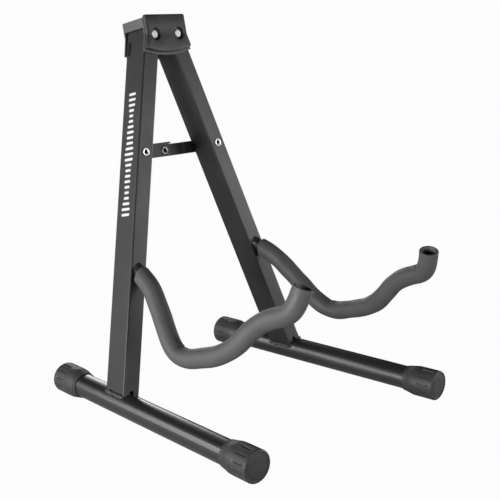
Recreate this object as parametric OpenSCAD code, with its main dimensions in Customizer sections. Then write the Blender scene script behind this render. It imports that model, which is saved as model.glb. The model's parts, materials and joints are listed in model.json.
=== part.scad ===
// Folding A-frame guitar stand, shown open for use.
// X runs to the right, -Y is the front where the instrument sits, +Z is up.
// The origin is on the floor, at the middle of the space the stand covers.
//
// Local frames: "head" lies on the hinge line of the two legs and leans back with the frame; "leg" has
// its origin where a leg's axis meets its foot's axis, Z up the leg and X outward; "foot" has the same
// origin, Z along the foot to the front and Y away from the floor. -Y is the front in head and leg.

/* [Frame] */
// Angle between one open leg and the middle of the stand, in degrees
leg_angle = 16.5; // [14:0.5:19]
// Backward lean of the leg frame, in degrees
lean = 12.8; // [10:0.1:15]
// Length of a leg, from its foot tube's axis to its hinge rivet
leg_length = 384; // [320:1:465]
// Length of a leg above its hinge rivet
leg_top = 6; // [5:0.5:8]
// Space left between the rubber caps of the two feet when the stand is folded
fold_gap = 0.6; // [0.4:0.1:4]

/* [Leg tube] */
// Width of a leg tube, across the stand
leg_w = 20; // [17:0.5:24]
// Depth of a leg tube, front to back
leg_d = 30; // [25:0.5:36]
// Wall of a leg tube
leg_wall = 1.2; // [1:0.1:1.6]
// Outside corner radius of a leg tube
leg_corner = 2; // [1.8:0.1:3]

/* [Feet] */
// Outside diameter of a foot tube
foot_d = 25; // [23:0.5:30]
// Wall of a foot tube
foot_wall = 1.5; // [1:0.1:2.5]
// Length of a foot in front of its leg, to the end of the cap
foot_front = 204; // [160:1:250]
// Length of a foot behind its leg, to the end of the cap
foot_rear = 104; // [80:1:130]
// Wall of a rubber foot cap, at its widest
cap_wall = 3.5; // [3:0.5:6]
// Length of a rubber foot cap
cap_len = 38; // [34:1:46]
// Closed end of a rubber foot cap
cap_end = 3.5; // [2.5:0.5:5]
// Number of flutes around a foot cap
cap_flutes = 12; // [8:1:16]

/* [Cradle arms] */
// Diameter of the bent steel rod
rod_d = 12; // [10:0.5:13]
// Outside diameter of the foam sleeve
foam_d = 19.5; // [18:0.5:22]
// Height of an arm's root on its leg, from the foot tube's axis
arm_height = 133.5; // [120:0.5:150]
// Downward slope of the rod where it leaves the leg, in degrees
arm_slope = 38; // [30:1:45]
// Straight run from the leg to the shoulder bend
run_root = 18.8; // [16:0.2:24]
// Straight run from the shoulder bend to the valley
run_drop = 49.3; // [40:0.1:60]
// Straight run along the floor of the valley
run_valley = 26.4; // [20:0.1:34]
// Straight run up out of the valley
run_rise = 14; // [8:0.5:20]
// Straight run between the shelf bend and the tip bend
run_shelf = 2; // [1:0.5:6]
// Straight run at the tip, to the end of the sleeve
run_tip = 14; // [12:0.5:20]
// Shoulder bend: how far it turns down, in degrees
bend_shoulder = 20.5; // [15:0.5:25]
// Valley bend: how far it turns up, in degrees
bend_valley = 63.5; // [55:0.5:70]
// Rise bend: how far it turns up, in degrees
bend_rise = 31.5; // [25:0.5:38]
// Shelf bend: how far it turns down, in degrees
bend_shelf = 33; // [25:0.5:38]
// Tip bend: how far it turns up, in degrees
bend_tip = 61.5; // [50:0.5:70]
// Radius of the shoulder bend
radius_shoulder = 62; // [40:1:80]
// Radius of the valley bend
radius_valley = 37; // [28:1:50]
// Radius of the rise bend
radius_rise = 75; // [50:1:90]
// Radius of the shelf bend
radius_shelf = 70; // [50:1:90]
// Radius of the tip bend
radius_tip = 22; // [16:1:28]
// Space between the leg and the nearest edge of the sleeve
root_gap = 0.5; // [0.3:0.1:4]
// How far the open sleeve stands past the end of the rod
tip_hollow = 7; // [4:0.5:10]

/* [Top bracket] */
// Sheet thickness of the bracket
sheet_t = 1.5; // [1.2:0.1:2]
// Height of the bracket above the hinge line
bracket_rise = 18; // [16:0.5:22]
// Depth of the front and rear flaps below the hinge line
bracket_drop = 22; // [18:0.5:28]
// How far a flap stands past the outer face of an open leg
flap_margin = 1; // [0.5:0.1:2]
// Radius of the curved lower edge of a flap
flap_arc = 105; // [90:1:140]
// Height of the short skirt on each side
skirt_h = 10.2; // [8:0.2:11]
// Thickness of the rubber rest pad
pad_t = 4.2; // [3.5:0.1:6]
// Thickness of the pad under a rivet head
pad_land = 0.8; // [0.6:0.1:1.2]
// How far the pad stands above the bracket
pad_rise = 2.6; // [1:0.1:4]
// How far the pad stops short of the flap's lower edge
pad_short = 2.7; // [1.5:0.1:4]
// Space around a rivet head in its recess in the pad
recess_gap = 2.2; // [1:0.1:2.5]

/* [Brace] */
// Height of the brace rivets on a leg, from the foot tube's axis
brace_height = 258.5; // [230:0.5:285]
// Height of a brace link
link_h = 13; // [11:0.5:16]
// Thickness of a brace link
link_t = 2; // [1.5:0.1:2.5]
// How far the left link runs past the middle rivet
link_overrun = 6.8; // [6:0.1:9]
// Length of the stop lip on the near side of the middle rivet
lip_near = 14; // [8:0.5:18]
// Length of the stop lip past the middle rivet
lip_far = 10; // [8:0.5:14]
// Distance from the right rivet to the joggle in the right link
joggle_at = 21; // [16:0.5:24]
// Length of the joggle
joggle_run = 4; // [3:0.5:6]

/* [Rivets and fits] */
// Diameter of a hinge rivet's shank
hinge_rivet_d = 6; // [5:0.1:6.5]
// Diameter of a brace rivet's shank
brace_rivet_d = 5; // [4:0.1:5.5]
// Diameter of a rivet head
rivet_head_d = 8.2; // [7.8:0.1:10]
// Height of a rivet head
rivet_head_h = 1.2; // [1:0.1:1.8]
// Diameter of the hole through a tubular rivet
rivet_bore_d = 2.6; // [2:0.1:3]
// Radial clearance of a rivet in a hole that turns on it
run_clear = 0.06; // [0.03:0.01:0.1]
// Space between flat faces that slide past each other
side_clear = 0.3; // [0.2:0.05:0.5]
// Clearance between pieces that are fixed together
seat_clear = 0.05; // [0.02:0.01:0.1]

/* [Leg plug] */
// Length of the plastic plug in the top of a leg
plug_len = 30; // [26:1:40]
// Height of the snap window in a leg's outer wall
window_h = 15; // [12:0.5:18]
// Width of the snap window
window_w = 5; // [4:0.5:6]
// Distance from the hinge rivet down to the snap window
window_drop = 6; // [5:0.5:8]

/* [Hidden] */

LEFT = -1;
RIGHT = 1;
fine = 64;
through = 200;

leg_r = leg_d / 2;
foot_r = foot_d / 2;
cap_r = foot_r + cap_wall;
rod_r = rod_d / 2;
foam_r = foam_d / 2;
head_r = rivet_head_d / 2;
bevel = 0.4;

// The hinge rivets stand just far enough apart for the feet to close against each other
hinge_x = cap_r + fold_gap / 2;
// A foot is welded across its leg at the angle that lays it flat on the floor when the stand is open
foot_tilt = atan(tan(lean) / cos(leg_angle));
foot_splay = asin(sin(foot_tilt) * sin(leg_angle));

// Rod and sleeve as a bending table: straight run, bend radius, bend angle (up is positive)
ARM = [
    [run_root, radius_shoulder, -bend_shoulder],
    [run_drop, radius_valley, bend_valley],
    [run_valley, radius_rise, bend_rise],
    [run_rise, radius_shelf, -bend_shelf],
    [run_shelf, radius_tip, bend_tip],
    [run_tip, 0, 0]
];

// Where a bending table ends: [forward of the leg's axis, up the leg, direction]
function run_end(steps, i, at) = i == len(steps) ? at :
    let (
        g = at[2],
        run = steps[i][0],
        r = steps[i][1],
        b = steps[i][2],
        s = sign(b),
        fwd = at[0] + run * cos(g) + s * r * (sin(g + b) - sin(g)),
        up = at[1] + run * sin(g) - s * r * (cos(g + b) - cos(g))
    )
    run_end(steps, i + 1, [fwd, up, g + b]);

bend_lap = 0.3;
bend_slim = 0.05;
// Bare rod between the leg and the sleeve, whose end is cut square to the rod
bare_root = foam_r * tan(arm_slope) + root_gap / cos(arm_slope);
arm_tip = run_end(ARM, 0, [leg_r, arm_height, -arm_slope]);

// How far forward a step up the leg and a step to its front go in world Y
up_y = cos(leg_angle) * sin(lean);
fwd_y = -cos(lean);
tip_y = arm_tip[0] * fwd_y + arm_tip[1] * up_y;
tip_dir_y = cos(arm_tip[2]) * fwd_y + sin(arm_tip[2]) * up_y;
reach_front = -tip_y + foam_r * sqrt(1 - tip_dir_y * tip_dir_y);
cap_bevel = 1;
reach_rear = foot_rear * cos(foot_splay) + (cap_r - cap_bevel) * sin(foot_splay);

foot_x = hinge_x + leg_length * sin(leg_angle);
foot_y = (reach_front - reach_rear) / 2;
head_y = foot_y + leg_length * up_y;
head_z = cap_r + leg_length * cos(leg_angle) * cos(lean);

// Bracket, measured from the hinge line
flap_in = leg_r + side_clear;
flap_out = flap_in + sheet_t;
skirt_in = hinge_x + leg_w / 2 + side_clear;
bracket_half = skirt_in + sheet_t;
// Outer edge of a flap: a line that follows the open leg
edge_x = hinge_x + (leg_w / 2 + flap_margin) / cos(leg_angle);
edge_turn = (bracket_half - edge_x) / tan(leg_angle);
pad_front = flap_out + pad_t;
pad_round = 1.6;
pad_inset = 0.4;

// Brace, measured from the hinge line
brace_arm = leg_length - brace_height;
brace_z = -brace_arm * cos(leg_angle);
link_len = hinge_x + brace_arm * sin(leg_angle);
link_y = leg_r + side_clear;
strap_y = link_y + link_t + side_clear;
link_r = link_h / 2;
lip_z = link_r + side_clear;
lip_reach = strap_y + link_t - link_y;
relief_w = 3;

// The snap window lies near the back of a leg's outer wall
window_inset = 1.5;
window_corner = 1.5;
window_y = leg_r - leg_corner - window_w / 2 - window_inset;

// ---- frames ----

module on_side(side) {
    if (side == LEFT)
        mirror([1, 0, 0]) children();
    else
        children();
}

module at_head() {
    translate([0, head_y, head_z]) rotate([-lean, 0, 0]) children();
}

module at_leg(side) {
    on_side(side)
        translate([foot_x, foot_y, cap_r]) rotate([-lean, 0, 0]) rotate([0, -leg_angle, 0]) children();
}

// From the leg frame to the foot frame
module to_foot() {
    rotate([90 + foot_tilt, 0, 0]) children();
}

// From the leg frame to the root of the arm, with Z along the rod
module to_arm() {
    translate([0, -leg_r, arm_height]) rotate([90 + arm_slope, 0, 0]) children();
}

// Turns Z to the back, for what runs through a leg or the bracket from front to back
module backward() {
    rotate([-90, 0, 0]) children();
}

// ---- shared shapes ----

module rounded_rect(w, d, r) {
    square([w - 2 * r, d], center = true);
    square([w, d - 2 * r], center = true);
    for (x = [-1, 1], y = [-1, 1])
        translate([x * (w / 2 - r), y * (d / 2 - r)]) circle(r, $fn = fine);
}

module leg_outline() {
    linear_extrude(leg_length + leg_top) rounded_rect(leg_w, leg_d, leg_corner);
}

module leg_inside(clear) {
    rounded_rect(leg_w - 2 * (leg_wall + clear), leg_d - 2 * (leg_wall + clear), leg_corner - leg_wall + 0.2);
}

module foot_solid(clear) {
    translate([0, 0, -foot_rear]) cylinder(r = foot_r + clear, h = foot_rear + foot_front, $fn = fine);
}

// Rivet: head below Z = 0, shank up to grip, formed tail above it, hollow from hollow_z to its top
module rivet(shank_r, grip, tail_r, hollow_z) {
    tail_h = tail_r > shank_r ? rivet_head_h : 0;
    top = grip + tail_h;
    difference() {
        rotate_extrude($fn = fine) polygon(concat(
            [[0, -rivet_head_h], [head_r - bevel, -rivet_head_h], [head_r, bevel - rivet_head_h],
             [head_r, 0], [shank_r, 0], [shank_r, grip]],
            tail_h > 0 ? [[tail_r, grip], [tail_r, top - bevel], [tail_r - bevel, top]] : [],
            [[0, top]]
        ));
        translate([0, 0, hollow_z]) cylinder(r = rivet_bore_d / 2, h = through, $fn = fine);
    }
}

// One length of round stock, bent to a table. Z runs along it and +Y is up.
// Straight runs lap a little way into the bends, which are a hair slimmer, so that they join cleanly.
module bent_run(steps, outer_r, inner_r, i = 0) {
    if (i < len(steps)) {
        run = steps[i][0];
        r = steps[i][1];
        b = steps[i][2];
        s = sign(b);
        start = i == 0 ? 0 : bend_lap;
        end = b == 0 ? 0 : bend_lap;
        translate([0, 0, -start]) linear_extrude(run + start + end) ring(outer_r, inner_r);
        if (b != 0)
            translate([0, s * r, run]) rotate([90, 0, -90 * s])
                rotate_extrude(angle = abs(b), $fn = fine)
                    translate([r, 0]) ring(outer_r - bend_slim, inner_r > 0 ? inner_r + bend_slim : 0);
        translate([0, s * r * (1 - cos(b)), run + r * sin(abs(b))]) rotate([-b, 0, 0])
            bent_run(steps, outer_r, inner_r, i + 1);
    }
}

module ring(outer_r, inner_r) {
    difference() {
        circle(outer_r, $fn = fine);
        if (inner_r > 0)
            circle(inner_r, $fn = fine);
    }
}

// ---- top bracket ----

// Outline of a flap, in X and height: straight sides that then follow the open legs, and a curved lower edge
module flap_outline(top, half, drop, inset) {
    low_x = edge_x - inset + drop * tan(leg_angle);
    turn = edge_turn < top ? edge_turn : top;
    intersection() {
        polygon([
            [-half, top], [half, top], [half, turn], [low_x, -drop], [-low_x, -drop], [-half, turn]
        ]);
        translate([0, flap_arc - drop]) circle(flap_arc, $fn = 128);
    }
}

// Stands an outline in X and height up, from y to y + t
module upright(y, t) {
    translate([0, y + t, 0]) rotate([90, 0, 0]) linear_extrude(t) children();
}

module hinge_bracket() {
    color([0.16, 0.16, 0.17])
    at_head()
    difference() {
        union() {
            for (y = [-flap_out, flap_in])
                upright(y, sheet_t) flap_outline(bracket_rise, bracket_half, bracket_drop, 0);
            translate([-bracket_half, -flap_out, bracket_rise - sheet_t])
                cube([2 * bracket_half, 2 * flap_out, sheet_t]);
            for (x = [-bracket_half, skirt_in])
                translate([x, -flap_out, bracket_rise - skirt_h]) cube([sheet_t, 2 * flap_out, skirt_h]);
        }
        for (s = [LEFT, RIGHT])
            translate([s * hinge_x, -through / 2, 0]) backward()
                cylinder(r = hinge_rivet_d / 2 + seat_clear, h = through, $fn = fine);
    }
}

module rest_pad() {
    color([0.09, 0.09, 0.09])
    at_head()
    difference() {
        union() {
            upright(-pad_front + pad_round, pad_t - pad_round)
                flap_outline(bracket_rise + pad_rise, bracket_half - pad_inset,
                             bracket_drop - pad_short, pad_inset);
            upright(-pad_front, pad_t)
                flap_outline(bracket_rise + pad_rise - pad_round, bracket_half - pad_inset - pad_round,
                             bracket_drop - pad_short - pad_round, pad_inset + pad_round);
        }
        for (s = [LEFT, RIGHT])
            translate([s * hinge_x, -flap_out - pad_land, 0]) backward() {
                cylinder(r = hinge_rivet_d / 2 + seat_clear, h = through, $fn = fine);
                translate([0, 0, -pad_t]) cylinder(r = head_r + recess_gap, h = pad_t, $fn = fine);
            }
    }
}

// Only the rear end of a hinge rivet is hollow, where its tail is rolled over
module hinge_rivet(side) {
    grip = 2 * flap_out + pad_land;
    tail_hollow = 6;
    color([0.8, 0.8, 0.82])
    at_head() translate([side * hinge_x, -flap_out - pad_land, 0]) backward()
        rivet(hinge_rivet_d / 2, grip, head_r, grip - tail_hollow);
}

// ---- legs and feet ----

module leg_tube(side) {
    cut = 1;
    notch_r = 2.5;
    notch_z = foot_r - leg_r * tan(foot_tilt) + notch_r / 2;
    color([0.10, 0.10, 0.11])
    at_leg(side)
    difference() {
        leg_outline();
        linear_extrude(leg_length + leg_top + cut) leg_inside(0);
        to_foot() foot_solid(seat_clear);
        translate([0, -leg_r - cut, leg_length]) backward()
            cylinder(r = hinge_rivet_d / 2 + run_clear, h = leg_d + 2 * cut, $fn = fine);
        translate([0, -leg_r - cut, brace_height]) backward()
            cylinder(r = brace_rivet_d / 2 + seat_clear, h = leg_d + 2 * cut, $fn = fine);
        translate([0, -leg_r - cut, notch_z]) backward()
            cylinder(r = notch_r, h = leg_wall + 2 * cut, $fn = fine);
        snap_window(leg_w / 2 - leg_wall - cut, leg_wall + 2 * cut, 0);
    }
}

// The snap window's shape, smaller all round by clear, from x to x + t
module snap_window(x, t, clear) {
    translate([x, window_y, leg_length - window_drop - window_h / 2]) rotate([90, 0, 90])
        linear_extrude(t) rounded_rect(window_w - 2 * clear, window_h - 2 * clear, window_corner - clear);
}

// Its tongue snaps into the window and ends well below the leg's outer face
module leg_plug(side) {
    sunk = 0.5;
    tongue_h = 0.3;
    color([0.05, 0.05, 0.05])
    at_leg(side)
    difference() {
        union() {
            translate([0, 0, leg_length + leg_top - plug_len])
                linear_extrude(plug_len - sunk) leg_inside(seat_clear);
            snap_window(leg_w / 2 - 2 * leg_wall, leg_wall + tongue_h, seat_clear);
        }
        translate([0, -leg_r, leg_length]) backward()
            cylinder(r = hinge_rivet_d / 2 + side_clear, h = leg_d, $fn = fine);
    }
}

module foot_tube(side) {
    color([0.07, 0.07, 0.08])
    at_leg(side) to_foot()
        translate([0, 0, -foot_rear + cap_end]) linear_extrude(foot_rear + foot_front - 2 * cap_end)
            ring(foot_r, foot_r - foot_wall);
}

// A bead along each side of the leg, in the corner between its wall and the foot tube
module foot_weld(side) {
    bead_r = 2.2;
    bead_x = leg_w / 2 + bead_r / 3;
    bead_y = sqrt(foot_r * foot_r - leg_w * leg_w / 4) + bead_r * 0.4;
    half = leg_r / cos(foot_tilt) - bead_r;
    color([0.13, 0.13, 0.14])
    at_leg(side)
    difference() {
        to_foot()
        for (x = [-bead_x, bead_x])
            translate([x, bead_y, -bead_y * tan(foot_tilt) - half]) {
                cylinder(r = bead_r, h = 2 * half, $fn = fine);
                for (z = [0, 2 * half])
                    translate([0, 0, z]) sphere(r = bead_r, $fn = fine);
            }
        to_foot() foot_solid(0);
        translate([-leg_w / 2, -leg_r, 0]) cube([leg_w, leg_d, leg_length]);
    }
}

// Rubber cap, from its open mouth at Z = 0 to its closed end
module foot_cap() {
    lip = 1;
    flare = cap_wall / 2;
    flare_z = 4;
    belly_z = cap_len - 18;
    flute_top = cap_len - 5;
    flute_len = 13;
    flute_r = 1.5;
    flute_deep = 1;
    rim = 3;
    rim_deep = 0.6;
    difference() {
        rotate_extrude($fn = fine) polygon([
            [foot_r + seat_clear, 0], [foot_r + lip, 0], [foot_r + flare, flare_z], [cap_r, belly_z],
            [cap_r, cap_len - cap_bevel], [cap_r - cap_bevel, cap_len],
            [cap_r - rim, cap_len], [cap_r - rim, cap_len - rim_deep],
            [0, cap_len - rim_deep], [0, cap_len - cap_end], [foot_r + seat_clear, cap_len - cap_end]
        ]);
        for (i = [0 : cap_flutes - 1])
            rotate([0, 0, (i + 0.5) * 360 / cap_flutes])
                translate([cap_r + flute_r - flute_deep, 0, flute_top - flute_len])
                    cylinder(r = flute_r, h = flute_len, $fn = 32);
    }
}

module front_cap(side) {
    color([0.06, 0.06, 0.06])
    at_leg(side) to_foot() translate([0, 0, foot_front - cap_len]) foot_cap();
}

module rear_cap(side) {
    color([0.06, 0.06, 0.06])
    at_leg(side) to_foot() translate([0, 0, -foot_rear + cap_len]) mirror([0, 0, 1]) foot_cap();
}

// ---- cradle arms ----

// The bending table with its first run shortened by a and its last run by b
function trimmed(a, b) = [
    for (i = [0 : len(ARM) - 1])
        [ARM[i][0] - (i == 0 ? a : 0) - (i == len(ARM) - 1 ? b : 0), ARM[i][1], ARM[i][2]]
];

module arm_rod(side) {
    sunk = rod_r * (tan(arm_slope) + 0.2);
    color([0.10, 0.10, 0.11])
    at_leg(side)
    difference() {
        to_arm() translate([0, 0, -sunk]) bent_run(trimmed(-sunk, tip_hollow), rod_r, 0);
        translate([-leg_w, -leg_r, 0]) cube([2 * leg_w, leg_d, leg_length]);
    }
}

module arm_weld(side) {
    throat = 1.2;
    bead_len = 1.2;
    sunk = (rod_r + throat) * tan(arm_slope);
    color([0.13, 0.13, 0.14])
    at_leg(side)
    difference() {
        to_arm() translate([0, 0, -sunk])
            cylinder(r1 = rod_r + throat, r2 = rod_r, h = sunk + bead_len, $fn = fine);
        to_arm() translate([0, 0, -2 * sunk])
            cylinder(r = rod_r + seat_clear / 2, h = 4 * sunk + run_root, $fn = fine);
        translate([-leg_w, -leg_r, 0]) cube([2 * leg_w, leg_d, leg_length]);
    }
}

module arm_foam(side) {
    color([0.20, 0.20, 0.20])
    at_leg(side) to_arm() translate([0, 0, bare_root])
        bent_run(trimmed(bare_root, 0), foam_r, rod_r + seat_clear);
}

// ---- brace ----

module brace_rivet(side) {
    left = side == LEFT;
    color([0.8, 0.8, 0.82])
    at_leg(side) translate([0, -leg_r, brace_height]) backward()
        rivet(brace_rivet_d / 2, left ? leg_d + link_t + 2 * side_clear : leg_d,
              left ? head_r : brace_rivet_d / 2, -through / 2);
}

// The right rivet's formed tail turns with the strap
module brace_rivet_tail() {
    color([0.8, 0.8, 0.82])
    at_head() translate([link_len, link_y + link_t, brace_z]) backward()
    rotate_extrude($fn = fine) polygon([
        [0, -link_t], [brace_rivet_d / 2, -link_t], [brace_rivet_d / 2, 0], [head_r, 0],
        [head_r, rivet_head_h - bevel], [head_r - bevel, rivet_head_h], [0, rivet_head_h]
    ]);
}

module at_brace() {
    at_head() translate([0, 0, brace_z]) children();
}

module link_hole(x, clear) {
    translate([x, 0, 0]) backward() cylinder(r = brace_rivet_d / 2 + clear, h = 2 * leg_d, $fn = fine);
}

module left_link() {
    color([0.17, 0.17, 0.18])
    at_brace()
    difference() {
        union() {
            upright(link_y, link_t) {
                translate([-link_len, 0]) circle(link_r, $fn = fine);
                translate([-link_len, -link_r]) square([link_len + link_overrun, link_h]);
                translate([-lip_near, 0]) square([lip_near + link_overrun, lip_z + link_t]);
            }
            translate([-lip_near, link_y, lip_z]) cube([lip_near + lip_far, lip_reach, link_t]);
        }
        translate([-lip_near - relief_w, 0, link_r - 1]) cube([relief_w, leg_d, link_t]);
        link_hole(-link_len, run_clear);
        link_hole(0, seat_clear);
    }
}

module middle_rivet() {
    color([0.8, 0.8, 0.82])
    at_brace() translate([0, link_y, 0]) backward()
        rivet(brace_rivet_d / 2, 2 * link_t + 2 * side_clear, head_r, -through / 2);
}

// The strap lies behind the left link and steps forward to the back of the right leg
module right_link() {
    near = link_len - joggle_at;
    far = near - joggle_run;
    step = strap_y - link_y;
    color([0.11, 0.11, 0.12])
    at_brace()
    difference() {
        intersection() {
            translate([0, 0, -link_r]) linear_extrude(link_h) polygon([
                [-link_r, strap_y], [far, strap_y], [near, link_y], [link_len + link_r, link_y],
                [link_len + link_r, link_y + link_t], [near, link_y + link_t],
                [far, strap_y + link_t], [-link_r, strap_y + link_t]
            ]);
            upright(link_y - step, 3 * step + link_t) {
                for (x = [0, link_len])
                    translate([x, 0]) circle(link_r, $fn = fine);
                translate([0, -link_r]) square([link_len, link_h]);
            }
        }
        link_hole(0, run_clear);
        link_hole(link_len, seat_clear);
    }
}

// ---- nodes ----

hinge_bracket();
rest_pad();
hinge_rivet(LEFT);  // left_hinge_rivet
hinge_rivet(RIGHT);  // right_hinge_rivet
leg_tube(LEFT);  // left_leg_tube
leg_plug(LEFT);  // left_leg_plug
foot_tube(LEFT);  // left_foot_tube
foot_weld(LEFT);  // left_foot_weld
front_cap(LEFT);  // left_front_cap
rear_cap(LEFT);  // left_rear_cap
arm_rod(LEFT);  // left_arm_rod
arm_weld(LEFT);  // left_arm_weld
arm_foam(LEFT);  // left_arm_foam
brace_rivet(LEFT);  // left_brace_rivet
leg_tube(RIGHT);  // right_leg_tube
leg_plug(RIGHT);  // right_leg_plug
foot_tube(RIGHT);  // right_foot_tube
foot_weld(RIGHT);  // right_foot_weld
front_cap(RIGHT);  // right_front_cap
rear_cap(RIGHT);  // right_rear_cap
arm_rod(RIGHT);  // right_arm_rod
arm_weld(RIGHT);  // right_arm_weld
arm_foam(RIGHT);  // right_arm_foam
brace_rivet(RIGHT);  // right_brace_rivet
left_link();
middle_rivet();
right_link();
brace_rivet_tail();  // right_brace_rivet_tail
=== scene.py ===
"""Looks of the folding A-frame guitar stand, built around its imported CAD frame. Metres, +Z up, -Y front."""

import json
import math
import random

import bmesh
import bpy
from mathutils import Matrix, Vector


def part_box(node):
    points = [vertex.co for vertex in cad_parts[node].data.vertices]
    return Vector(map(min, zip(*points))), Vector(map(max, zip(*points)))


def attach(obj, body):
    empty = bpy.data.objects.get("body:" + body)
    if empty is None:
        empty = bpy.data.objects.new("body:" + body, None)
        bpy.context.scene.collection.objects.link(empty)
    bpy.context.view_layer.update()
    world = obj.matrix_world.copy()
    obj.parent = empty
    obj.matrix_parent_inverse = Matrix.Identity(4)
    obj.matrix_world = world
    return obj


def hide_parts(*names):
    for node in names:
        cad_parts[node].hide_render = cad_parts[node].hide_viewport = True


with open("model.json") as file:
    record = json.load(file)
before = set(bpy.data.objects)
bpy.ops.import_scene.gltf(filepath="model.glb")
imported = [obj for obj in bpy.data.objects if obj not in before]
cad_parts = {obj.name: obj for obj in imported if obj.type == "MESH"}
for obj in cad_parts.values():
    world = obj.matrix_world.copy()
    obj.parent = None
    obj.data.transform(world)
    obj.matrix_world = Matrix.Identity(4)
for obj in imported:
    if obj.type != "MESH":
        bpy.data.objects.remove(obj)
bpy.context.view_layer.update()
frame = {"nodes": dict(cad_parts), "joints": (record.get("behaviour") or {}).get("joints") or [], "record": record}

NODES = frame["nodes"]
JOINTS = {joint["name"]: joint for joint in frame["joints"]}
SIDES = {"left": -1, "right": 1}

# ---------------------------------------------------------------- directions and sizes

FOLD = JOINTS["left_leg_fold"]
ACROSS = Vector((1, 0, 0))
FRONT = Vector(FOLD["axis"])  # out of the front faces of the bracket and the legs
LEAN = math.atan2(FRONT.z, -FRONT.y)
UP = Vector((0, math.sin(LEAN), math.cos(LEAN)))  # along the middle of the leaning frame
LEG_ANGLE = math.radians(FOLD["range_deg"][1])
HINGE = Vector((0, *FOLD["pos_m"][1:]))  # middle of the hinge line
HINGE_SPREAD = -FOLD["pos_m"][0]  # from the middle to a hinge rivet

LEG_WIDTH = 0.020
LEG_DEPTH = 0.030
FOOT_RADIUS = 0.0125
FOOT_TILT = math.atan(math.tan(LEAN) / math.cos(LEG_ANGLE))  # from the leg's front to the floor

# The arm's bending table: straight run, bend radius, bend angle in degrees (up is positive)
ARM_HEIGHT = 0.1335
ARM_SLOPE = 38
ARM_BENDS = (
    (0.0188, 0.062, -20.5),
    (0.0493, 0.037, 63.5),
    (0.0264, 0.075, 31.5),
    (0.0140, 0.070, -33.0),
    (0.0020, 0.022, 61.5),
    (0.0140, 0.0, 0.0),
)
SLEEVE_RADIUS = 0.00975
ROOT_GAP = 0.0005  # between the leg and the nearest edge of the sleeve
SLOPE = math.radians(ARM_SLOPE)
SLEEVE_START = SLEEVE_RADIUS * math.tan(SLOPE) + ROOT_GAP / math.cos(SLOPE)
SLEEVE_BORE = 0.00605
ROOT_SLANT = 0.45  # how far the sleeve's cut end leans towards the leg, for each unit of height
TIGHT_RADIUS = 0.040  # a bend tighter than this pinches the sleeve


class Leg:
    """A leg's own directions, from the point where its axis meets the axis of its foot."""

    def __init__(self, name, side):
        hinge = Vector(JOINTS[name + "_leg_fold"]["pos_m"])
        low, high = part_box(name + "_foot_tube")
        self.name = name
        self.body = name + "_leg"
        self.out = ACROSS * side * math.cos(LEG_ANGLE) + UP * math.sin(LEG_ANGLE)
        self.up = UP * math.cos(LEG_ANGLE) - ACROSS * side * math.sin(LEG_ANGLE)
        self.origin = hinge - self.up * ((hinge.z - (low.z + high.z) / 2) / self.up.z)
        self.foot_front = FRONT * math.cos(FOOT_TILT) - self.up * math.sin(FOOT_TILT)
        self.foot_up = FRONT * math.sin(FOOT_TILT) + self.up * math.cos(FOOT_TILT)

    def at(self, out, front, up):
        """A point of the leg: outward from its axis, towards its front and up along it."""
        return self.origin + self.out * out + FRONT * front + self.up * up

    def on_foot(self, out, front, up):
        """A point of the foot: outward from its axis, forward along it and up from it."""
        return self.origin + self.out * out + self.foot_front * front + self.foot_up * up


LEGS = [Leg(name, side) for name, side in SIDES.items()]


def at_head(x, front, up):
    """A point of the leaning bracket, from the middle of the hinge line."""
    return HINGE + ACROSS * x + FRONT * front + UP * up


def span(node, origin, direction, above=None):
    """Lowest and highest distance of a CAD node's points from origin along direction.

    With above, only the points higher than that along the frame count.
    """
    points = [v.co - origin for v in NODES[node].data.vertices]
    if above is not None:
        points = [p for p in points if p.dot(UP) > above]
    distances = [p.dot(direction) for p in points]
    return min(distances), max(distances)


# ---------------------------------------------------------------- materials


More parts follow.
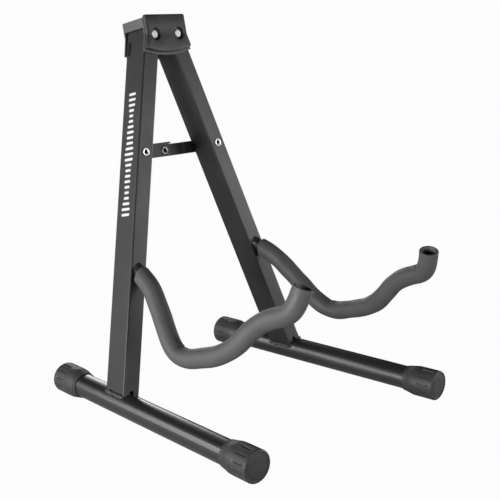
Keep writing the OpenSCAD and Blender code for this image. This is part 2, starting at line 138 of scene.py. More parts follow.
class Graph:
    """Small helper that adds nodes and links to a material."""

    def __init__(self, name):
        self.material = bpy.data.materials.new(name)
        self.material.use_nodes = True
        self.nodes = self.material.node_tree.nodes
        self.links = self.material.node_tree.links
        self.shader = self.nodes["Principled BSDF"]
        self.place = self.add("ShaderNodeTexCoord").outputs["Object"]

    def add(self, kind, **settings):
        node = self.nodes.new(kind)
        for key, value in settings.items():
            setattr(node, key, value)
        return node

    def noise(self, scale, detail=3.0, rough=0.5, stretch=None):
        node = self.add("ShaderNodeTexNoise")
        node.inputs["Scale"].default_value = scale
        node.inputs["Detail"].default_value = detail
        node.inputs["Roughness"].default_value = rough
        place = self.place
        if stretch:
            mapping = self.add("ShaderNodeMapping")
            mapping.inputs["Scale"].default_value = stretch
            self.links.new(place, mapping.inputs["Vector"])
            place = mapping.outputs["Vector"]
        self.links.new(place, node.inputs["Vector"])
        return node.outputs["Fac"]

    def cells(self, scale):
        node = self.add("ShaderNodeTexVoronoi")
        node.inputs["Scale"].default_value = scale
        self.links.new(self.place, node.inputs["Vector"])
        return node.outputs["Distance"]

    def ramp(self, factor, *stops):
        """A grey or colour ramp over factor; each stop is (position, colour)."""
        node = self.add("ShaderNodeValToRGB")
        elements = node.color_ramp.elements
        while len(elements) < len(stops):
            elements.new(0.5)
        for element, (position, colour) in zip(elements, stops):
            element.position = position
            element.color = (*colour, 1) if len(colour) == 3 else (colour[0],) * 3 + (1,)
        self.links.new(factor, node.inputs["Fac"])
        return node.outputs["Color"]

    def mix(self, factor, first, second, blend="MIX"):
        node = self.add("ShaderNodeMix", data_type="RGBA", blend_type=blend)
        for value, socket in ((factor, node.inputs[0]), (first, node.inputs[6]), (second, node.inputs[7])):
            if isinstance(value, (int, float)):
                socket.default_value = value
            elif isinstance(value, tuple):
                socket.default_value = (*value, 1)
            else:
                self.links.new(value, socket)
        return node.outputs[2]

    def bump(self, *layers):
        """Bump layers, each (height, strength, distance), one on top of the other."""
        normal = None
        for height, strength, distance in layers:
            node = self.add("ShaderNodeBump")
            node.inputs["Strength"].default_value = strength
            node.inputs["Distance"].default_value = distance
            self.links.new(height, node.inputs["Height"])
            if normal:
                self.links.new(normal, node.inputs["Normal"])
            normal = node.outputs["Normal"]
        self.links.new(normal, self.shader.inputs["Normal"])

    def to(self, socket, value):
        self.links.new(value, self.shader.inputs[socket])


def powder_coat(name, dark, light, smooth, rough, peel):
    """Black powder coat: orange peel of a given strength, cloudy gloss and a few specks of dust."""
    g = Graph(name)
    clouds = g.ramp(g.noise(28, 4), (0.3, dark), (0.7, light))
    specks = g.ramp(g.noise(2600, 1), (0.70, (0,)), (0.78, (1,)))
    dust = tuple(3 * c for c in light)
    g.to("Base Color", g.mix(specks, clouds, dust))
    g.to("Roughness", g.ramp(g.noise(60, 4, stretch=(1, 1, 0.3)), (0.3, (smooth,)), (0.7, (rough,))))
    g.bump((g.noise(900, 2), peel, 0.0003), (g.noise(3200, 2), 0.8 * peel, 0.0001))
    return g.material


def gloss_coat():
    """Smooth glossy black paint on the foot tubes: a soft wide shine under a thin clear layer."""
    g = Graph("gloss_coat")
    g.to("Base Color", g.ramp(g.noise(25, 3), (0.3, (0.014, 0.014, 0.015)), (0.7, (0.019, 0.019, 0.020))))
    g.to("Roughness", g.ramp(g.noise(12, 3), (0.3, (0.36,)), (0.7, (0.40,))))
    g.shader.inputs["Specular IOR Level"].default_value = 0.8
    g.shader.inputs["Coat Weight"].default_value = 1.0
    g.shader.inputs["Coat Roughness"].default_value = 0.30
    g.shader.inputs["Coat IOR"].default_value = 1.65
    g.bump((g.noise(1500, 2), 0.006, 0.0002))
    return g.material


def zinc_plate(name, dark, light):
    """Zinc on the rivets, with fine scratches and dull spots."""
    g = Graph(name)
    g.to("Base Color", g.ramp(g.noise(700, 3), (0.3, dark), (0.7, light)))
    g.to("Roughness", g.ramp(g.noise(420, 4), (0.3, (0.24,)), (0.7, (0.42,))))
    g.shader.inputs["Metallic"].default_value = 1
    g.bump((g.noise(2400, 3, stretch=(1, 1, 6)), 0.12, 0.0001))
    return g.material


def moulded_rubber(name, dark, light, smooth, rough):
    """Moulded rubber: fine matt grain over slow flow marks."""
    g = Graph(name)
    g.to("Base Color", g.ramp(g.noise(45, 5), (0.3, dark), (0.7, light)))
    g.to("Roughness", g.ramp(g.noise(120, 4), (0.3, (smooth,)), (0.7, (rough,))))
    g.bump((g.noise(70, 3), 0.22, 0.0008), (g.noise(2600, 2), 0.16, 0.0001))
    return g.material


def foam_skin():
    """Closed-cell foam: matt skin with fine cells, painted shade in their pits, and slightly paler worn patches.
    """
    g = Graph("foam_skin")
    worn = g.ramp(g.noise(35, 5, 0.6), (0.35, (0.100, 0.100, 0.101)), (0.72, (0.128, 0.128, 0.130)))
    # Darker at the bottom of each cell pit that the cell bump below digs: painted shade in the hollows.
    painted_pit_shade = g.ramp(g.cells(1500), (0.0, (0.055, 0.055, 0.056)), (0.4, (0.128, 0.128, 0.129)))
    g.to("Base Color", g.mix(0.35, worn, painted_pit_shade))
    g.to("Roughness", g.ramp(g.noise(200, 3), (0.3, (0.46,)), (0.7, (0.60,))))
    g.bump((g.cells(1500), 0.25, 0.0002), (g.noise(240, 3), 0.12, 0.0006))
    return g.material


def weld_metal():
    """Coated weld bead: rougher and greyer than the tube beside it."""
    g = Graph("weld_metal")
    g.to("Base Color", g.ramp(g.noise(500, 4), (0.3, (0.03, 0.03, 0.03)), (0.7, (0.11, 0.11, 0.105))))
    g.to("Roughness", g.ramp(g.noise(800, 3), (0.3, (0.35,)), (0.7, (0.60,))))
    g.bump((g.noise(700, 4), 0.5, 0.0006))
    return g.material


def print_ink():
    """White screen-printed ink, a little uneven."""
    g = Graph("print_ink")
    g.to("Base Color", g.ramp(g.noise(900, 4), (0.3, (0.78, 0.78, 0.78)), (0.6, (0.92, 0.92, 0.92))))
    g.shader.inputs["Roughness"].default_value = 0.45
    g.bump((g.noise(3000, 2), 0.1, 0.0001))
    return g.material


MATERIALS = {
    "frame_steel": powder_coat(
        "satin_coat", dark=(0.028, 0.028, 0.030), light=(0.038, 0.038, 0.041),
        smooth=0.36, rough=0.44, peel=0.09,
    ),
    "foot_steel": gloss_coat(),
    # A lighter copy of the same black powder coat: painted light, the bracket's faces made as bright as they look
    # when lit.
    "bracket_steel": powder_coat(
        "painted_light_bracket_coat", dark=(0.085, 0.085, 0.088), light=(0.110, 0.110, 0.115),
        smooth=0.34, rough=0.44, peel=0.09,
    ),
    "brace_steel": powder_coat(
        "brace_coat", dark=(0.030, 0.030, 0.032), light=(0.044, 0.044, 0.047),
        smooth=0.36, rough=0.48, peel=0.09,
    ),
    # A darker copy of the brace coat for the right link: painted shade, where the left leg shades it.
    "shaded_brace_steel": powder_coat(
        "painted_shade_brace_coat", dark=(0.010, 0.010, 0.011), light=(0.016, 0.016, 0.017),
        smooth=0.42, rough=0.50, peel=0.05,
    ),
    "zinc": zinc_plate("bright_zinc", dark=(0.72, 0.72, 0.74), light=(0.95, 0.95, 0.96)),
    "dull_zinc": zinc_plate("dull_zinc", dark=(0.36, 0.36, 0.37), light=(0.52, 0.52, 0.53)),
    "pad_rubber": moulded_rubber(
        "pad_rubber", dark=(0.030, 0.030, 0.031), light=(0.046, 0.046, 0.047),
        smooth=0.36, rough=0.48,
    ),
    "cap_rubber": moulded_rubber(
        "cap_rubber", dark=(0.050, 0.050, 0.051), light=(0.072, 0.072, 0.073),
        smooth=0.40, rough=0.54,
    ),
    "foam": foam_skin(),
    # Near-black, much darker than the plug's own black plastic: painted shade in the leg's slot and in the rivet
    # bores.
    "plug_plastic": moulded_rubber(
        "plug_plastic", dark=(0.003, 0.003, 0.003), light=(0.006, 0.006, 0.006),
        smooth=0.55, rough=0.70,
    ),
    "weld": weld_metal(),
    "ink": print_ink(),
}


def paint_cad_nodes():
    """Gives every CAD node the material of its slot, apart from the right link, which gets a darker copy of the
    brace coat as painted shade.
    """
    painted_shade_parts = {"right_link": "shaded_brace_steel"}
    for part in frame["record"]["subparts"]:
        node = NODES[part["node"]]
        material = MATERIALS[painted_shade_parts.get(part["node"], part["material_slot"])]
        node.data.materials.clear()
        node.data.materials.append(material)


# ---------------------------------------------------------------- mesh tools


def new_piece(name, mesh, material, smooth_angle=40):
    """A new object of a bmesh, with outward normals and edges sharper than the angle kept crisp."""
    bmesh.ops.recalc_face_normals(mesh, faces=mesh.faces)
    for face in mesh.faces:
        face.smooth = True
    limit = math.radians(smooth_angle)
    for edge in mesh.edges:
        edge.smooth = len(edge.link_faces) == 2 and edge.calc_face_angle(0) < limit
    data = bpy.data.meshes.new(name)
    mesh.to_mesh(data)
    mesh.free()
    data.materials.append(material)
    piece = bpy.data.objects.new(name, data)
    bpy.context.scene.collection.objects.link(piece)
    return piece


def quarter_turn(steps):
    """Angles from 0 to a right angle, for a rounded edge."""
    return [math.pi / 2 * i / steps for i in range(steps + 1)]


def smooth_step(value, low, high):
    """0 below low, 1 above high and a soft rise between them."""
    t = min(max((value - low) / (high - low), 0), 1)
    return t * t * (3 - 2 * t)


def add_ring(mesh, points):
    """New vertices at the points, in order."""
    return [mesh.verts.new(p) for p in points]


def join_rings(mesh, first, second):
    """Quads between two rings that have the same number of points."""
    count = len(first)
    for i in range(count):
        j = (i + 1) % count
        mesh.faces.new((first[i], first[j], second[j], second[i]))


def fill_between(mesh, *loops):
    """Fills a flat face that has the first loop as its outline and the others as holes."""
    edges = []
    for loop in loops:
        for i, vertex in enumerate(loop):
            pair = (vertex, loop[(i + 1) % len(loop)])
            edges.append(mesh.edges.get(pair) or mesh.edges.new(pair))
    bmesh.ops.triangle_fill(mesh, use_beauty=True, use_dissolve=False, edges=edges)


# ---------------------------------------------------------------- foam sleeves


def arm_line():
    """The arm's centreline as a function of distance, its bends, and its length.

    Each bend is (distance of its middle, half its length, radius, turn).
    """
    stretches = []
    bends = []
    front, up, direction, gone = LEG_DEPTH / 2, ARM_HEIGHT, math.radians(-ARM_SLOPE), 0.0
    for run, radius, bend in ARM_BENDS:
        stretches.append((gone, run, front, up, direction, 0.0))
        front += run * math.cos(direction)
        up += run * math.sin(direction)
        gone += run
        turn = math.radians(bend)
        if turn:
            curve = math.copysign(1 / radius, turn)
            length = radius * abs(turn)
            stretches.append((gone, length, front, up, direction, curve))
            bends.append((gone + length / 2, length / 2, radius, turn))
            front += (math.sin(direction + turn) - math.sin(direction)) / curve
            up -= (math.cos(direction + turn) - math.cos(direction)) / curve
            gone += length
            direction += turn

    def place(distance):
        start, _, front, up, direction, curve = [s for s in stretches if s[0] <= max(distance, 0)][-1]
        along = distance - start
        if not curve:
            return front + along * math.cos(direction), up + along * math.sin(direction), direction
        after = direction + curve * along
        return (
            front + (math.sin(after) - math.sin(direction)) / curve,
            up - (math.cos(after) - math.cos(direction)) / curve,
            after,
        )

    return place, bends, gone


def sleeve_profile(start, end):
    """The sleeve's wall as (distance, radius, share of the outer skin's relief), round the wall once."""
    skin_step, bore_step = 0.001, 0.004
    edge = 0.0011  # rounding of the cut ends
    mouth_bore, mouth_deep = 0.0074, 0.007  # the open tip widens from the rod's bore
    edge_share, mouth_share = 0.6, 0.3
    edge_turn = quarter_turn(6)
    skin_long = end - start - 2 * edge
    skin_steps = round(skin_long / skin_step)
    profile = []
    for a in reversed(edge_turn):
        radius = SLEEVE_RADIUS - edge * (1 - math.cos(a))
        profile.append((start + edge * (1 - math.sin(a)), radius, edge_share))
    for i in range(1, skin_steps):
        profile.append((start + edge + skin_long * i / skin_steps, SLEEVE_RADIUS, 1.0))
    for a in edge_turn:
        radius = SLEEVE_RADIUS - edge * (1 - math.cos(a))
        profile.append((end - edge * (1 - math.sin(a)), radius, edge_share))
    mouth_steps = 8
    for i in range(mouth_steps + 1):
        t = i / mouth_steps
        bore = SLEEVE_BORE + (mouth_bore - SLEEVE_BORE) * (1 - t) ** 2
        profile.append((end - mouth_deep * t, bore, mouth_share * (1 - t)))
    bore_long = end - start - mouth_deep
    bore_steps = round(bore_long / bore_step)
    for i in range(1, bore_steps + 1):
        profile.append((end - mouth_deep - bore_long * i / bore_steps, SLEEVE_BORE, 0.0))
    return profile


def eased(place, distance, length, ease=0.007):
    """A point of the arm's line averaged over a short stretch, because foam rounds off the ends of a bend."""
    ease = min(ease, distance, length - distance)
    around = [place(distance + ease * share) for share in (-1, -0.5, 0, 0.5, 1)]
    return [sum(values) / len(around) for values in zip(*around)]


def sleeve_relief(distance, angle, bends, ripples):
    """How far the skin stands from a plain tube: pinched inside tight bends, fuller beside them, uneven."""
    pinch_deep, pinch_half = 0.0014, 0.0042
    fold_high, fold_pitch = 0.00022, 0.0056
    full = 0.0003
    relief = 0.0
    for middle, half, radius, turn in bends:
        inner = math.cos(angle if turn > 0 else angle - math.pi)
        near = math.exp(-(((distance - middle) / (half * 0.9)) ** 2))
        if radius < TIGHT_RADIUS:
            pinch = math.exp(-(((distance - middle) / pinch_half) ** 2))
            folds = math.cos((distance - middle) * math.tau / fold_pitch) * near
            inside = max(inner, 0) ** 2
            relief -= pinch_deep * pinch * inside
            relief += fold_high * folds * inside * (1 - pinch)
            relief += full * near * (1 - inner * inner)
    for height, wave, turns, phase in ripples:
        relief += height * math.sin(distance * wave + turns * angle + phase)
    return relief


def sleeve_ripples(seed):
    """A few slow waves over the skin, each as (height, waves per length, turns round the sleeve, phase)."""
    dice = random.Random(seed)
    ripples = []
    for _ in range(7):
        height = dice.uniform(0.00003, 0.00009)
        wave = dice.uniform(60, 320)
        turns = dice.choice((0, 1, 2))
        ripples.append((height, wave, turns, dice.uniform(0, math.tau)))
    return ripples


def foam_sleeve(leg, seed):
    """Foam sleeve on one arm, open at the tip, with its upper end leaning back to the leg."""
    place, bends, length = arm_line()
    ripples = sleeve_ripples(seed)
    slant_long = 0.012
    around = 56
    mesh = bmesh.new()
    rings = []
    for distance, radius, share in sleeve_profile(SLEEVE_START, length):
        front, up, direction = eased(place, distance, length)
        slant = ROOT_SLANT * max(1 - (distance - SLEEVE_START) / slant_long, 0)
        ring = []
        for i in range(around):
            angle = math.tau * i / around
            r = radius + share * sleeve_relief(distance, angle, bends, ripples)
            rise = r * math.cos(angle)
            back = slant * max(rise, 0)
            ring_front = front - rise * math.sin(direction) - back * math.cos(direction)
            ring_up = up + rise * math.cos(direction) - back * math.sin(direction)
            ring.append(leg.at(r * math.sin(angle), ring_front, ring_up))
        rings.append(add_ring(mesh, ring))
    for i, ring in enumerate(rings):
        join_rings(mesh, ring, rings[(i + 1) % len(rings)])
    piece = new_piece(leg.name + "_sleeve", mesh, MATERIALS["foam"], 60)
    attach(piece, leg.body)
    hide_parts(leg.name + "_arm_foam")


# ---------------------------------------------------------------- rest pad


def rounded_outline(corners, steps=6):
    """A closed outline in x and height, from corners given as (x, height, rounding)."""
    outline = []
    for i, (x, z, rounding) in enumerate(corners):
        here = Vector((x, z))
        if not rounding:
            outline.append(here)
            continue
        back = (Vector(corners[i - 1][:2]) - here).normalized()
        ahead = (Vector(corners[(i + 1) % len(corners)][:2]) - here).normalized()
        half = back.angle(ahead) / 2
        centre = here + (back + ahead).normalized() * (rounding / math.sin(half))
        first = here + back * (rounding / math.tan(half)) - centre
        last = here + ahead * (rounding / math.tan(half)) - centre
        for k in range(steps + 1):
            t = k / steps
            outline.append(centre + (first * (1 - t) + last * t).normalized() * rounding)
    return outline


def inset(outline, distance):
    """The outline moved inward by a distance; it runs anticlockwise."""
    moved = []
    for i, here in enumerate(outline):
        along = (outline[(i + 1) % len(outline)] - outline[i - 1]).normalized()
        moved.append(here + Vector((-along.y, along.x)) * distance)
    return moved


def circle(x, z, radius, count=56):
    """An anticlockwise circle in x and height."""
    turns = [math.tau * i / count for i in range(count)]
    return [Vector((x + radius * math.cos(a), z + radius * math.sin(a))) for a in turns]


def pad_outline():
    """Straight sides, lower corners that flare along the open legs, and a curved lower edge."""
    arc = 0.105
    arc_steps = 12
    low_round, top_round, turn_round = 0.0024, 0.0022, 0.012
    square_part = 0.010  # the sides are straight above this height
    wide = span("rest_pad", HINGE, ACROSS)[1]
    top_wide = span("rest_pad", HINGE, ACROSS, above=square_part)[1]
    bottom, top = span("rest_pad", HINGE, UP)

    def lower_edge(x):
        return bottom + arc - math.sqrt(arc * arc - x * x)

    corner = lower_edge(wide)
    turn = corner + (wide - top_wide) / math.tan(LEG_ANGLE)
    corners = [(-wide, corner, low_round)]
    for i in range(2, arc_steps - 1):
        x = wide * (2 * i / arc_steps - 1)
        corners.append((x, lower_edge(x), 0))
    corners += [(wide, corner, low_round), (top_wide, turn, turn_round), (top_wide, top, top_round)]
    corners += [(-top_wide, top, top_round), (-top_wide, turn, turn_round)]
    return rounded_outline(corners)


def dish_profile(front, back):
    """The wall of a recess and its bore as (radius, level), from the pad's front face to its back."""
    radius = 0.0063
    edge = 0.0009
    land = 0.0008  # rubber left under the rivet's head
    bore = 0.00305
    floor = back + land
    turn = quarter_turn(5)
    profile = [(radius + edge * (1 - math.cos(a)), front - edge * (1 - math.sin(a))) for a in reversed(turn)]
    profile.append((radius, floor + edge))
    for a in turn[1:]:
        profile.append((radius - edge * (1 - math.cos(a)), floor + edge * (1 - math.sin(a))))
    return profile + [(bore, floor), (bore, back)]


def rest_pad():
    """Moulded rubber pad with rounded edges and a dished recess round each hinge rivet."""
    back, front = span("rest_pad", HINGE, FRONT)
    edge = 0.0015
    outline = pad_outline()
    mesh = bmesh.new()

    def ring(points, level):
        return add_ring(mesh, [at_head(p.x, level, p.y) for p in points])

    rims = [ring(outline, back)]
    for a in quarter_turn(5):
        rims.append(ring(inset(outline, edge * (1 - math.cos(a))), front - edge * (1 - math.sin(a))))
    for first, second in zip(rims, rims[1:]):
        join_rings(mesh, first, second)
    tops, bores = [], []
    for x in (-HINGE_SPREAD, HINGE_SPREAD):
        rings = [ring(circle(x, 0, radius), level) for radius, level in dish_profile(front, back)]
        for first, second in zip(rings, rings[1:]):
            join_rings(mesh, first, second)
        tops.append(rings[0])
        bores.append(rings[-1])
    fill_between(mesh, rims[-1], *tops)
    fill_between(mesh, rims[0], *bores)
    piece = new_piece("moulded_rest_pad", mesh, MATERIALS["pad_rubber"], 50)
    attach(piece, "bracket")
    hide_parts("rest_pad")


# ---------------------------------------------------------------- brace rivets


def rivet_profile(back, front, head, tail):
    """The rivet's wall as (level, radius): dished head, shank, tail if it has one, and bore."""
    thick = 0.0012  # of the head and the tail
    bevel = 0.0004
    shank, bore = 0.0025, 0.0013
    dish = front - 0.0013  # level of the dish's floor
    dish_floor, dish_wall, dish_rim = 0.0021, 0.0025, 0.0030
    profile = [(dish, dish_floor), (front - 0.0003, dish_wall), (front, dish_rim)]
    profile += [(front, head - bevel), (front - 0.3 * bevel, head - 0.3 * bevel), (front - bevel, head)]
    profile += [(front - thick, head), (front - thick, shank)]
    if tail:
        profile += [(back + thick, shank), (back + thick, head), (back + bevel, head), (back, head - bevel)]
    else:
        profile += [(back, shank)]
    return profile + [(back, bore), (dish, bore)]


def brace_rivet(node, body, tail, coat):
    """Tubular rivet with a dished head, its bore and the floor of its dish painted near-black as shade.

    The right one has no tail here, because its tail is a CAD node of its own on the right link.
    """
    around = 40
    left, right = span(node, HINGE, ACROSS)
    bottom, top = span(node, HINGE, UP)
    back, front = span(node, HINGE, FRONT)
    x, z = (left + right) / 2, (bottom + top) / 2
    mesh = bmesh.new()
    rings = []
    for level, radius in rivet_profile(back, front, (right - left) / 2, tail):
        rings.append(add_ring(mesh, [at_head(p.x, level, p.y) for p in circle(x, z, radius, around)]))
    for i, ring in enumerate(rings):
        join_rings(mesh, ring, rings[(i + 1) % len(rings)])
    # The faces of the bore and of the dish's floor round it take the near-black plug plastic: painted shade in the
    # rivet's hollow.
    painted_shade_bore_verts = {v for ring in (rings[0], rings[-1], rings[-2]) for v in ring}
    for face in mesh.faces:
        face.material_index = int(all(v in painted_shade_bore_verts for v in face.verts))
    piece = new_piece(node + "_dished", mesh, MATERIALS[coat], 35)
    piece.data.materials.append(MATERIALS["plug_plastic"])
    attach(piece, body)
    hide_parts(node)


# ---------------------------------------------------------------- foot boots


FLUTES = 12
FLUTE_HALF = 0.0013  # half the width of a flute
FLUTE_DEEP = 0.0011


def boot_profile(length, wide):
    """The boot's wall as (distance from its mouth, radius), from its closed end inside round to its face."""
    closed = 0.0035  # thickness of the closed end
    lip, lip_long = 0.0011, 0.0030
    neck_at = 0.0034  # the boot widens from here
    flare, flare_steps = 0.0105, 10  # length of the widening part
    wall_long, wall_steps = 0.018, 16
    face_edge = 0.0018  # rounding of the face's rim
    groove = 0.0005  # depth of the ring on the face
    inner = FOOT_RADIUS + 0.00005
    neck = inner + 1.5 * lip
    profile = [(length - closed, inner), (0.004, inner), (0.0003, inner), (0.0, inner + 0.0003)]
    profile += [(0.0, inner + lip * 0.6), (0.0004, inner + lip), (lip_long, inner + lip), (neck_at, neck)]
    for i in range(1, flare_steps + 1):
        t = i / flare_steps
        swell = 0.94 * math.sin(t * math.pi / 2) ** 1.5
        profile.append((neck_at + flare * t, neck + (wide - neck) * swell))
    wall = max(length - wall_long, neck_at + flare + 0.001)
    for i in range(wall_steps + 1):
        profile.append((wall + (length - face_edge - wall) * i / wall_steps, wide))
    for a in quarter_turn(5)[1:]:
        profile.append((length - face_edge * (1 - math.sin(a)), wide - face_edge * (1 - math.cos(a))))
    rim = wide - face_edge
    face = length - 0.4 * groove
    outer, outer_floor, inner_floor, inner_edge = (rim - away for away in (0.0008, 0.0012, 0.0020, 0.0026))
    profile += [(length, outer), (length - groove, outer_floor), (length - groove, inner_floor)]
    profile += [(face, inner_edge), (face, rim * 0.5), (face, 0.0006)]
    return profile


def flute_depth(distance, radius, length, angle):
    """How deep a flute is cut at a point of the boot: only near its face, and only outside."""
    if radius <= FOOT_RADIUS + 0.001:
        return 0.0
    first, full, fading, last = (length - back for back in (0.0175, 0.0160, 0.0052, 0.0042))
    reach = smooth_step(distance, first, full) * (1 - smooth_step(distance, fading, last))
    nearest = (angle / math.tau * FLUTES + 0.5) % 1 - 0.5
    off = abs(nearest) * math.tau / FLUTES * radius
    return FLUTE_DEEP * reach * (1 - smooth_step(off, FLUTE_HALF * 0.7, FLUTE_HALF))


def foot_boot(leg, end, seed):
    """Rubber boot on one end of a foot, fluted behind its face."""
    node = f"{leg.name}_{end}_cap"
    way = 1 if end == "front" else -1
    low, high = span(node, leg.origin, leg.foot_front * way)
    wide = span(node, leg.origin, leg.foot_up)[1]
    around = 240
    largest_turn = 0.05
    turn = random.Random(seed).uniform(-largest_turn, largest_turn)
    mesh = bmesh.new()
    rings = []
    for distance, radius in boot_profile(high - low, wide):
        points = []
        for i in range(around):
            angle = math.tau * i / around
            r = radius - flute_depth(distance, radius, high - low, angle)
            out, up = r * math.sin(angle + turn), r * math.cos(angle + turn)
            points.append(leg.on_foot(out, way * (low + distance), up))
        rings.append(add_ring(mesh, points))
    for first, second in zip(rings, rings[1:]):
        join_rings(mesh, first, second)
    mesh.faces.new(rings[0])
    mesh.faces.new(rings[-1])
    piece = new_piece(f"{leg.name}_{end}_boot", mesh, MATERIALS["cap_rubber"], 35)
    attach(piece, leg.body)
    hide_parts(node)


# ---------------------------------------------------------------- weld beads and print


def weld_bead(leg, mesh, side, dice):
    """A lumpy bead along one side of the leg, in the corner between its wall and the foot tube."""
    radius = 0.0022
    beside, above = 0.0006, 0.0009  # the bead's middle, from the corner between the leg and the tube
    out = side * (LEG_WIDTH / 2 + beside)
    up = math.sqrt(FOOT_RADIUS**2 - (LEG_WIDTH / 2) ** 2) + above
    middle = -up * math.tan(FOOT_TILT)
    half = LEG_DEPTH / 2 / math.cos(FOOT_TILT)
    ripple = 0.0030  # length of one lump
    count, around = 60, 20
    smallest, largest = 0.75, 1.15
    sizes = [dice.uniform(smallest, largest) for _ in range(int(2 * half / ripple) + 2)]
    rings = []
    for i in range(count + 1):
        t = i / count
        along = -half + 2 * half * t
        lump, phase = divmod((along + half) / ripple, 1)
        bulge = sizes[int(lump)] * (0.72 + 0.34 * math.sqrt(1 - phase * phase * 0.96))
        bulge *= math.sqrt(max(1 - (2 * t - 1) ** 8, 0.0004))
        points = []
        for k in range(around):
            angle = math.tau * k / around
            r = radius * bulge * (1 + 0.08 * math.sin(3 * angle + 2 * lump))
            beside_leg, over_tube = out + r * math.cos(angle), up + r * math.sin(angle)
            points.append(leg.on_foot(beside_leg, middle + along, over_tube))
        rings.append(add_ring(mesh, points))
    for first, second in zip(rings, rings[1:]):
        join_rings(mesh, first, second)
    mesh.faces.new(rings[0])
    mesh.faces.new(rings[-1])


def foot_weld(leg, seed):
    """The two weld beads that join a leg to its foot tube."""
    dice = random.Random(seed)
    mesh = bmesh.new()
    for side in (-1, 1):
        weld_bead(leg, mesh, side, dice)
    piece = new_piece(leg.name + "_weld_beads", mesh, MATERIALS["weld"], 80)
    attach(piece, leg.body)
    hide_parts(leg.name + "_foot_weld")


def printed_bars(leg):
    """A plain printed pattern of level bars up the outer face of a leg."""
    first_up, last_up = 0.192, 0.320
    count = 23
    thick = 0.00006  # the ink's height over the coat
    half_high = 0.0014
    shortest, growth = 0.0018, 0.0040  # half of a bar's straight part, and what the pattern adds
    steps = 8
    mesh = bmesh.new()
    for i in range(count):
        t = i / (count - 1)
        up = first_up + (last_up - first_up) * t
        level = 0.5 + 0.32 * math.sin(2.1 + 11 * t) + 0.18 * math.sin(29 * t)
        half_wide = shortest + growth * level
        outline = []
        for side in (1, -1):
            for k in range(steps + 1):
                angle = math.pi * (k / steps - 0.5)
                front = half_wide + half_high * math.cos(angle)
                outline.append((side * front, side * half_high * math.sin(angle)))
        rings = []
        for lift in (-thick, thick):
            points = [leg.at(LEG_WIDTH / 2 + lift, front, up + high) for front, high in outline]
            rings.append(add_ring(mesh, points))
        join_rings(mesh, *rings)
        for ring in rings:
            mesh.faces.new(ring)
    piece = new_piece(leg.name + "_printed_bars", mesh, MATERIALS["ink"], 30)
    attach(piece, leg.body)


# ---------------------------------------------------------------- studio

CAMERA_AZIMUTH = -45.95
CAMERA_ELEVATION = 13.49
CAMERA_AIM = Vector((-0.006, -0.0057, 0.1661))
CAMERA_DISTANCE = 1.0815
CAMERA_LENS = 76.34
LAMP_AIM = Vector((0, 0, 0.18))
LAMP_DISTANCE = 1.8
BACKDROP_WHITE = 0.98
ROOM_LIGHT = 0.02


def direction(azimuth, elevation):
    """The way to an eye or a lamp: azimuth 0 is in front of the stand, -90 at its left."""
    a, e = math.radians(azimuth), math.radians(elevation)
    return Vector((math.sin(a) * math.cos(e), -math.cos(a) * math.cos(e), math.sin(e)))


def make_camera():
    """The camera that matches the photo's view."""
    camera = bpy.data.objects.new("camera", bpy.data.cameras.new("camera"))
    camera.data.lens = CAMERA_LENS
    camera.data.sensor_width = 36
    camera.data.clip_start = 0.05
    camera.data.clip_end = 200
    back = direction(CAMERA_AZIMUTH, CAMERA_ELEVATION)
    camera.location = CAMERA_AIM + back * CAMERA_DISTANCE
    camera.rotation_mode = "QUATERNION"
    camera.rotation_quaternion = (-back).to_track_quat("-Z", "Y")
    bpy.context.scene.collection.objects.link(camera)
    bpy.context.scene.camera = camera


def soft_box(name, azimuth, elevation, width, height, power):
    """A rectangular soft lamp that looks at the stand."""
    lamp = bpy.data.objects.new(name, bpy.data.lights.new(name, "AREA"))
    lamp.data.shape = "RECTANGLE"
    lamp.data.size = width
    lamp.data.size_y = height
    lamp.data.energy = power
    way = direction(azimuth, elevation)
    lamp.location = LAMP_AIM + way * LAMP_DISTANCE
    lamp.rotation_mode = "QUATERNION"
    lamp.rotation_quaternion = (-way).to_track_quat("-Z", "Y")
    bpy.context.scene.collection.objects.link(lamp)


def pale_to_the_eye(nodes, links, real, seen):
    """A stage shader: the real one for light and reflections, and the seen one where the eye looks at it."""
    path = nodes.new("ShaderNodeLightPath")
    mix = nodes.new("ShaderNodeMixShader")
    links.new(path.outputs["Is Camera Ray"], mix.inputs[0])
    links.new(real, mix.inputs[1])
    links.new(seen, mix.inputs[2])
    return mix.outputs[0]


def make_world():
    """A dim studio with a white backdrop."""
    world = bpy.data.worlds.new("studio")
    world.use_nodes = True
    nodes, links = world.node_tree.nodes, world.node_tree.links
    dim = nodes["Background"]
    dim.inputs["Color"].default_value = (1, 1, 1, 1)
    dim.inputs["Strength"].default_value = ROOM_LIGHT
    white = nodes.new("ShaderNodeBackground")
    white.inputs["Color"].default_value = (1, 1, 1, 1)
    white.inputs["Strength"].default_value = BACKDROP_WHITE
    shader = pale_to_the_eye(nodes, links, dim.outputs[0], white.outputs[0])
    links.new(shader, nodes["World Output"].inputs["Surface"])
    bpy.context.scene.world = world


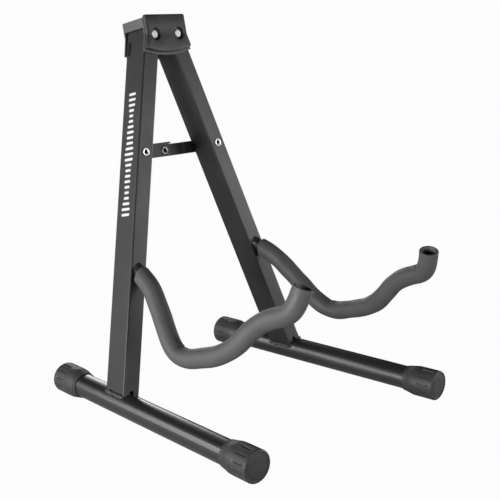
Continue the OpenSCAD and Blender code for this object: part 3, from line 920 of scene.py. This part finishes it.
def make_floor():
    """A wide pale floor, plain white to the eye."""
    half = 40
    corners = ((-half, -half, 0), (half, -half, 0), (half, half, 0), (-half, half, 0))
    mesh = bmesh.new()
    mesh.faces.new(add_ring(mesh, corners))
    g = Graph("floor_white")
    g.to("Base Color", g.ramp(g.noise(3, 2), (0.3, (0.80, 0.80, 0.80)), (0.7, (0.82, 0.82, 0.82))))
    g.shader.inputs["Roughness"].default_value = 0.9
    g.shader.inputs["Specular IOR Level"].default_value = 0.1
    glow = g.add("ShaderNodeEmission")
    glow.inputs["Strength"].default_value = BACKDROP_WHITE
    shader = pale_to_the_eye(g.nodes, g.links, g.shader.outputs[0], glow.outputs[0])
    g.links.new(shader, g.nodes["Material Output"].inputs["Surface"])
    floor = new_piece("floor", mesh, g.material)


def make_studio():
    """Camera, backdrop, floor and the lamps round the stand."""
    make_camera()
    make_world()
    make_floor()
    soft_box("key_left", azimuth=-92, elevation=3, width=0.8, height=0.4, power=27)
    soft_box("back_left", azimuth=-133, elevation=15, width=0.5, height=0.3, power=3)
    soft_box("low_back_left", azimuth=-133, elevation=1, width=0.6, height=0.32, power=2)
    soft_box("front", azimuth=5, elevation=3, width=0.8, height=0.36, power=7)
    soft_box("front_right", azimuth=42, elevation=12, width=0.7, height=0.36, power=4.5)
    soft_box("right", azimuth=72, elevation=3, width=0.7, height=0.36, power=9)
    soft_box("back_right", azimuth=150, elevation=12, width=0.8, height=0.5, power=5)
    bpy.context.scene.view_settings.view_transform = "Standard"


# ---------------------------------------------------------------- build

make_studio()
paint_cad_nodes()
rest_pad()
brace_rivet("left_brace_rivet", "left_leg", tail=True, coat="zinc")
brace_rivet("middle_rivet", "left_brace", tail=True, coat="dull_zinc")
brace_rivet("right_brace_rivet", "right_leg", tail=False, coat="zinc")
for number, leg in enumerate(LEGS):
    foam_sleeve(leg, seed=11 + number)
    foot_weld(leg, seed=21 + number)
    for end in ("front", "rear"):
        foot_boot(leg, end, seed=31 + number)
printed_bars(LEGS[0])
